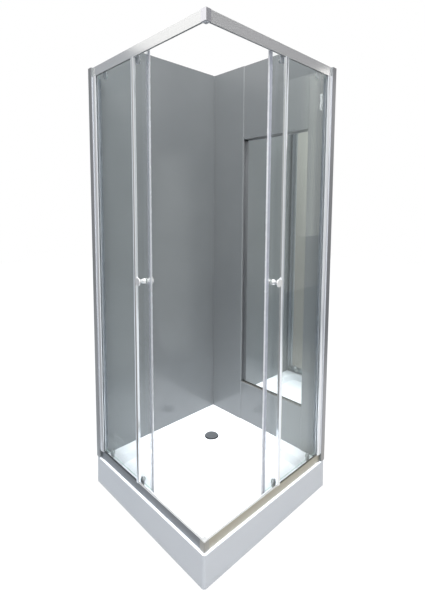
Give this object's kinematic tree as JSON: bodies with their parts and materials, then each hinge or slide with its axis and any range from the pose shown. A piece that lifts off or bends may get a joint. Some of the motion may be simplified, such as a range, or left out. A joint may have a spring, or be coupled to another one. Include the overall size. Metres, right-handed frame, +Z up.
{
  "type": "shower cabin",
  "caption": "Square corner shower cabin: moulded tray, two wall panels with a tall mirror, fixed glass panes and sliding glass doors that meet at the corner.",
  "frame": {"origin": "middle of the square footprint, on the floor", "axes": "+Z up; the two walls are at -X and +Y; the open entry corner is at +X, -Y; the left door slides along X, the right door along Y"},
  "size_m": [0.8, 0.8, 2.13],
  "materials": {
    "tray_acrylic": "white vacuum-formed acrylic, glossy",
    "wall_panel": "pale silver-grey moulded panel, glossy",
    "board": "raw particle board",
    "frame_steel": "grey painted square tube",
    "steel_fasteners": "zinc-plated steel",
    "black_plastic": "black moulded plastic",
    "white_plastic": "white moulded plastic",
    "grey_plastic": "silver-grey moulded plastic",
    "corner_grey": "silver-grey moulded plastic",
    "cover_grey": "dark silver-grey plastic, satin",
    "chrome": "polished chrome plating",
    "silver_profile": "satin anodised aluminium",
    "silver_rail": "satin anodised aluminium",
    "bright_profile": "bright polished aluminium",
    "clear_glass": "clear toughened glass",
    "mirror": "silvered glass",
    "clear_seal": "clear extruded soft plastic",
    "rubber": "black rubber",
    "nylon": "white nylon"
  },
  "bodies": {
    "cabin": {"tray": "tray_acrylic", "base_board": "board", "tray_frame": "frame_steel", "foot_bolts": "steel_fasteners", "foot_pads": "black_plastic", "waste_ring": "chrome", "waste_washer": "rubber", "waste_trap": "white_plastic", "left_wall_panel": "wall_panel", "right_wall_panel": "wall_panel", "mirror": "mirror", "corner_post": "silver_profile", "bottom_corner_connector": "corner_grey", "top_corner_connector": "corner_grey", "glass_gaskets": "clear_seal", "rail_end_blocks": "grey_plastic", "door_stops": "rubber", "frame_screws": "steel_fasteners", "left_wall_profile": "silver_profile", "left_adjusting_profile": "bright_profile", "left_fixed_glass": "clear_glass", "left_fixed_stile": "bright_profile", "left_bottom_rail": "silver_rail", "left_top_rail": "silver_rail", "right_wall_profile": "silver_profile", "right_adjusting_profile": "bright_profile", "right_fixed_glass": "clear_glass", "right_fixed_stile": "bright_profile", "right_bottom_rail": "silver_rail", "right_top_rail": "silver_rail"},
    "waste_cover": {"waste_cover": "cover_grey"},
    "left_door": {"left_door_glass": "clear_glass", "left_leading_seal": "clear_seal", "left_trailing_seal": "clear_seal", "left_outer_knob": "chrome", "left_inner_knob": "chrome", "left_hangers": "grey_plastic", "left_housings": "grey_plastic", "left_roller_screws": "chrome"},
    "left_front_carrier": {"left_front_carrier": "grey_plastic"},
    "left_upper_front_wheel": {"left_upper_front_wheel": "nylon"},
    "left_lower_front_wheel": {"left_lower_front_wheel": "nylon"},
    "left_rear_carrier": {"left_rear_carrier": "grey_plastic"},
    "left_upper_rear_wheel": {"left_upper_rear_wheel": "nylon"},
    "left_lower_rear_wheel": {"left_lower_rear_wheel": "nylon"},
    "right_door": {"right_door_glass": "clear_glass", "right_leading_seal": "clear_seal", "right_trailing_seal": "clear_seal", "right_outer_knob": "chrome", "right_inner_knob": "chrome", "right_hangers": "grey_plastic", "right_housings": "grey_plastic", "right_roller_screws": "chrome"},
    "right_front_carrier": {"right_front_carrier": "grey_plastic"},
    "right_upper_front_wheel": {"right_upper_front_wheel": "nylon"},
    "right_lower_front_wheel": {"right_lower_front_wheel": "nylon"},
    "right_rear_carrier": {"right_rear_carrier": "grey_plastic"},
    "right_upper_rear_wheel": {"right_upper_rear_wheel": "nylon"},
    "right_lower_rear_wheel": {"right_lower_rear_wheel": "nylon"}
  },
  "joints": [
    {"name": "waste_cover_lift", "type": "slide", "parent": "cabin", "child": "waste_cover", "axis": [0, 0, 1], "range_m": [0, 0.05]},
    {"name": "left_door_slide", "type": "slide", "parent": "cabin", "child": "left_door", "axis": [1, 0, 0], "range_m": [0, 0.32]},
    {"name": "left_front_carrier_lift", "type": "slide", "parent": "left_door", "child": "left_front_carrier", "axis": [0, 0, 1], "range_m": [0, 0.008], "stiffness_N_per_m": 400, "springref_m": -0.01},
    {"name": "left_upper_front_wheel_turn", "type": "hinge", "parent": "left_door", "child": "left_upper_front_wheel", "pos_m": [-0.037, -0.373, 1.97355], "axis": [0, 1, 0], "range_deg": [-10, 2460]},
    {"name": "left_lower_front_wheel_turn", "type": "hinge", "parent": "left_front_carrier", "child": "left_lower_front_wheel", "pos_m": [-0.037, -0.373, 0.14855], "axis": [0, 1, 0], "range_deg": [-10, 2460]},
    {"name": "left_rear_carrier_lift", "type": "slide", "parent": "left_door", "child": "left_rear_carrier", "axis": [0, 0, 1], "range_m": [0, 0.008], "stiffness_N_per_m": 400, "springref_m": -0.01},
    {"name": "left_upper_rear_wheel_turn", "type": "hinge", "parent": "left_door", "child": "left_upper_rear_wheel", "pos_m": [-0.299, -0.373, 1.97355], "axis": [0, 1, 0], "range_deg": [-10, 2460]},
    {"name": "left_lower_rear_wheel_turn", "type": "hinge", "parent": "left_rear_carrier", "child": "left_lower_rear_wheel", "pos_m": [-0.299, -0.373, 0.14855], "axis": [0, 1, 0], "range_deg": [-10, 2460]},
    {"name": "right_door_slide", "type": "slide", "parent": "cabin", "child": "right_door", "axis": [0, -1, 0], "range_m": [0, 0.32]},
    {"name": "right_front_carrier_lift", "type": "slide", "parent": "right_door", "child": "right_front_carrier", "axis": [0, 0, 1], "range_m": [0, 0.008], "stiffness_N_per_m": 400, "springref_m": -0.01},
    {"name": "right_upper_front_wheel_turn", "type": "hinge", "parent": "right_door", "child": "right_upper_front_wheel", "pos_m": [0.373, 0.037, 1.97355], "axis": [1, 0, 0], "range_deg": [-10, 2460]},
    {"name": "right_lower_front_wheel_turn", "type": "hinge", "parent": "right_front_carrier", "child": "right_lower_front_wheel", "pos_m": [0.373, 0.037, 0.14855], "axis": [1, 0, 0], "range_deg": [-10, 2460]},
    {"name": "right_rear_carrier_lift", "type": "slide", "parent": "right_door", "child": "right_rear_carrier", "axis": [0, 0, 1], "range_m": [0, 0.008], "stiffness_N_per_m": 400, "springref_m": -0.01},
    {"name": "right_upper_rear_wheel_turn", "type": "hinge", "parent": "right_door", "child": "right_upper_rear_wheel", "pos_m": [0.373, 0.299, 1.97355], "axis": [1, 0, 0], "range_deg": [-10, 2460]},
    {"name": "right_lower_rear_wheel_turn", "type": "hinge", "parent": "right_rear_carrier", "child": "right_lower_rear_wheel", "pos_m": [0.373, 0.299, 0.14855], "axis": [1, 0, 0], "range_deg": [-10, 2460]}
  ],
  "couplings": [
    {"joint": "left_upper_front_wheel_turn", "follows": "left_door_slide", "rad_per_m": 133.33},
    {"joint": "left_lower_front_wheel_turn", "follows": "left_door_slide", "rad_per_m": 133.33},
    {"joint": "left_upper_rear_wheel_turn", "follows": "left_door_slide", "rad_per_m": 133.33},
    {"joint": "left_lower_rear_wheel_turn", "follows": "left_door_slide", "rad_per_m": 133.33},
    {"joint": "right_upper_front_wheel_turn", "follows": "right_door_slide", "rad_per_m": 133.33},
    {"joint": "right_lower_front_wheel_turn", "follows": "right_door_slide", "rad_per_m": 133.33},
    {"joint": "right_upper_rear_wheel_turn", "follows": "right_door_slide", "rad_per_m": 133.33},
    {"joint": "right_lower_rear_wheel_turn", "follows": "right_door_slide", "rad_per_m": 133.33}
  ]
}
